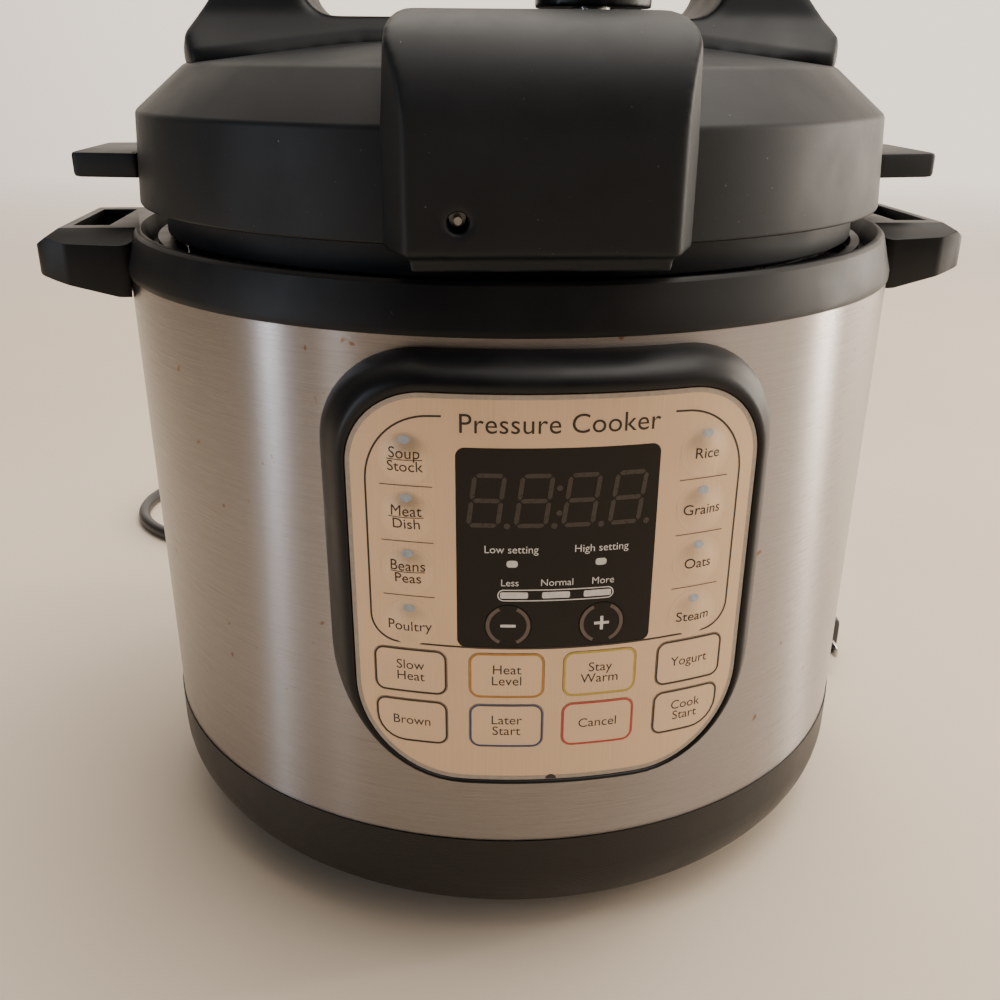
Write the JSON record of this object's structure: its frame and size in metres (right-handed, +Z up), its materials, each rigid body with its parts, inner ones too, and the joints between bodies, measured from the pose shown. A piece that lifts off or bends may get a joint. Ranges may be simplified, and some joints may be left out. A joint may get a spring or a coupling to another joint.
{
  "type": "electric pressure cooker",
  "caption": "Electric pressure cooker: brushed steel drum on a black base, curved key panel with display, bayonet pressure lid with arched handle, steam release knob and mains lead.",
  "frame": {"origin": "on the floor, under the middle of the cooker's footprint box without the mains lead; the pot's axis is 10 mm in front of it", "axes": "-Y to the front (control panel), +X to the right as seen from the front, +Z up"},
  "size_m": [0.3762, 0.455, 0.317],
  "materials": {
    "base_plastic": "satin",
    "rim_plastic": "satin",
    "lid_plastic": "matte",
    "knob_plastic": "satin",
    "brushed_body": "vertical brushed",
    "pot_steel": "satin",
    "inner_sheet": "satin",
    "bayonet_steel": "satin",
    "cast_plate": "cast and turned",
    "element_sheath": "matte",
    "fastener": "polished",
    "spring_steel": "satin",
    "circuit_board": "satin",
    "bezel_plastic": "gloss",
    "panel_film": "metallic film",
    "key_film": "metallic film",
    "window_film": "gloss",
    "membrane_film": "satin",
    "display_block": "satin",
    "silicone": "translucent",
    "foot_rubber": "matte",
    "clear_plastic": "clear",
    "inlet_plastic": "satin",
    "lead_sheath": "satin"
  },
  "bodies": {
    "cooker": {"base_housing": "base_plastic", "bottom_cover": "base_plastic", "base_feet": "foot_rubber", "base_screws": "fastener", "steel_shell": "brushed_body", "rim_ring": "rim_plastic", "outer_pot": "inner_sheet", "bayonet_ring": "bayonet_steel", "heating_plate": "cast_plate", "heating_element": "element_sheath", "sensor_spring": "spring_steel", "sensor_bracket": "inner_sheet", "pressure_switch": "inlet_plastic", "power_board": "circuit_board", "control_board": "circuit_board", "panel_bezel": "bezel_plastic", "panel_face": "panel_film", "key_membrane": "membrane_film", "display_window": "window_film", "display_module": "display_block", "power_inlet": "inlet_plastic", "lead_connector": "lead_sheath", "power_lead": "lead_sheath", "lead_plug": "lead_sheath"},
    "pot": {"inner_pot": "pot_steel"},
    "sensor": {"thermal_sensor": "cast_plate"},
    "seal": {"sealing_ring": "silicone"},
    "lid": {"lid_cover": "lid_plastic", "valve_housing": "lid_plastic", "lid_handle": "lid_plastic", "lid_plate": "pot_steel", "lid_screws": "fastener", "ring_rack": "spring_steel", "steam_pipe": "pot_steel", "steam_shield": "pot_steel", "lock_spring": "spring_steel"},
    "valve": {"valve_weight": "spring_steel"},
    "knob": {"release_knob": "knob_plastic"},
    "float": {"float_valve": "spring_steel", "float_cap": "silicone"},
    "lock": {"lock_pin": "spring_steel"},
    "cup": {"condensate_cup": "clear_plastic"},
    "soup_key": {"key_soup": "key_film"},
    "stew_key": {"key_stew": "key_film"},
    "beans_key": {"key_beans": "key_film"},
    "poultry_key": {"key_poultry": "key_film"},
    "rice_key": {"key_rice": "key_film"},
    "grain_key": {"key_grain": "key_film"},
    "oats_key": {"key_oats": "key_film"},
    "steam_key": {"key_steam": "key_film"},
    "slow_key": {"key_slow": "key_film"},
    "level_key": {"key_level": "key_film"},
    "warm_key": {"key_warm": "key_film"},
    "yogurt_key": {"key_yogurt": "key_film"},
    "brown_key": {"key_brown": "key_film"},
    "timer_key": {"key_timer": "key_film"},
    "cancel_key": {"key_cancel": "key_film"},
    "cook_key": {"key_cook": "key_film"},
    "minus_key": {"key_minus": "window_film"},
    "plus_key": {"key_plus": "window_film"}
  },
  "joints": [
    {"name": "lid_lift", "type": "slide", "parent": "cooker", "child": "seal", "axis": [0, 0, 1], "range_m": [0, 0.3]},
    {"name": "lid_turn", "type": "hinge", "parent": "seal", "child": "lid", "pos_m": [0, -0.01, 0.21], "axis": [0, 0, 1], "range_deg": [0, 30]},
    {"name": "pot_lift", "type": "slide", "parent": "cooker", "child": "pot", "axis": [0, 0, 1], "range_m": [0, 0.18]},
    {"name": "sensor_press", "type": "slide", "parent": "cooker", "child": "sensor", "axis": [0, 0, -1], "range_m": [0, 0.003], "stiffness_N_per_m": 1500, "deforming": ["sensor_spring"]},
    {"name": "valve_lift", "type": "slide", "parent": "lid", "child": "valve", "axis": [0, 0, 1], "range_m": [0, 0.025]},
    {"name": "knob_turn", "type": "hinge", "parent": "valve", "child": "knob", "pos_m": [0.01563, -0.08553, 0.29], "axis": [0, 0, 1], "range_deg": [0, 40]},
    {"name": "float_rise", "type": "slide", "parent": "lid", "child": "float", "axis": [0, 0, 1], "range_m": [0, 0.004]},
    {"name": "lock_press", "type": "slide", "parent": "lid", "child": "lock", "axis": [0.0314, 0.9995, 0], "range_m": [0, 0.003], "stiffness_N_per_m": 200, "deforming": ["lock_spring"]},
    {"name": "cup_slide", "type": "slide", "parent": "cooker", "child": "cup", "axis": [0, 1, 0], "range_m": [0, 0.04]},
    {"name": "soup_press", "type": "slide", "parent": "cooker", "child": "soup_key", "axis": [0.2756, 0.9613, 0], "range_m": [0, 0.0004], "stiffness_N_per_m": 800},
    {"name": "stew_press", "type": "slide", "parent": "cooker", "child": "stew_key", "axis": [0.2756, 0.9613, 0], "range_m": [0, 0.0004], "stiffness_N_per_m": 800},
    {"name": "beans_press", "type": "slide", "parent": "cooker", "child": "beans_key", "axis": [0.2756, 0.9613, 0], "range_m": [0, 0.0004], "stiffness_N_per_m": 800},
    {"name": "poultry_press", "type": "slide", "parent": "cooker", "child": "poultry_key", "axis": [0.2756, 0.9613, 0], "range_m": [0, 0.0004], "stiffness_N_per_m": 800},
    {"name": "rice_press", "type": "slide", "parent": "cooker", "child": "rice_key", "axis": [-0.2756, 0.9613, 0], "range_m": [0, 0.0004], "stiffness_N_per_m": 800},
    {"name": "grain_press", "type": "slide", "parent": "cooker", "child": "grain_key", "axis": [-0.2756, 0.9613, 0], "range_m": [0, 0.0004], "stiffness_N_per_m": 800},
    {"name": "oats_press", "type": "slide", "parent": "cooker", "child": "oats_key", "axis": [-0.2756, 0.9613, 0], "range_m": [0, 0.0004], "stiffness_N_per_m": 800},
    {"name": "steam_press", "type": "slide", "parent": "cooker", "child": "steam_key", "axis": [-0.2756, 0.9613, 0], "range_m": [0, 0.0004], "stiffness_N_per_m": 800},
    {"name": "slow_press", "type": "slide", "parent": "cooker", "child": "slow_key", "axis": [0.2773, 0.9608, 0], "range_m": [0, 0.0004], "stiffness_N_per_m": 800},
    {"name": "level_press", "type": "slide", "parent": "cooker", "child": "level_key", "axis": [0.0915, 0.9958, 0], "range_m": [0, 0.0004], "stiffness_N_per_m": 800},
    {"name": "warm_press", "type": "slide", "parent": "cooker", "child": "warm_key", "axis": [-0.0915, 0.9958, 0], "range_m": [0, 0.0004], "stiffness_N_per_m": 800},
    {"name": "yogurt_press", "type": "slide", "parent": "cooker", "child": "yogurt_key", "axis": [-0.2773, 0.9608, 0], "range_m": [0, 0.0004], "stiffness_N_per_m": 800},
    {"name": "brown_press", "type": "slide", "parent": "cooker", "child": "brown_key", "axis": [0.2773, 0.9608, 0], "range_m": [0, 0.0004], "stiffness_N_per_m": 800},
    {"name": "timer_press", "type": "slide", "parent": "cooker", "child": "timer_key", "axis": [0.0915, 0.9958, 0], "range_m": [0, 0.0004], "stiffness_N_per_m": 800},
    {"name": "cancel_press", "type": "slide", "parent": "cooker", "child": "cancel_key", "axis": [-0.0915, 0.9958, 0], "range_m": [0, 0.0004], "stiffness_N_per_m": 800},
    {"name": "cook_press", "type": "slide", "parent": "cooker", "child": "cook_key", "axis": [-0.2773, 0.9608, 0], "range_m": [0, 0.0004], "stiffness_N_per_m": 800},
    {"name": "minus_press", "type": "slide", "parent": "cooker", "child": "minus_key", "axis": [0.0898, 0.996, 0], "range_m": [0, 0.0004], "stiffness_N_per_m": 800},
    {"name": "plus_press", "type": "slide", "parent": "cooker", "child": "plus_key", "axis": [-0.0898, 0.996, 0], "range_m": [0, 0.0004], "stiffness_N_per_m": 800}
  ],
  "couplings": [
    {"joint": "pot_lift", "follows": "lid_lift", "ratio": 0.6}
  ]
}
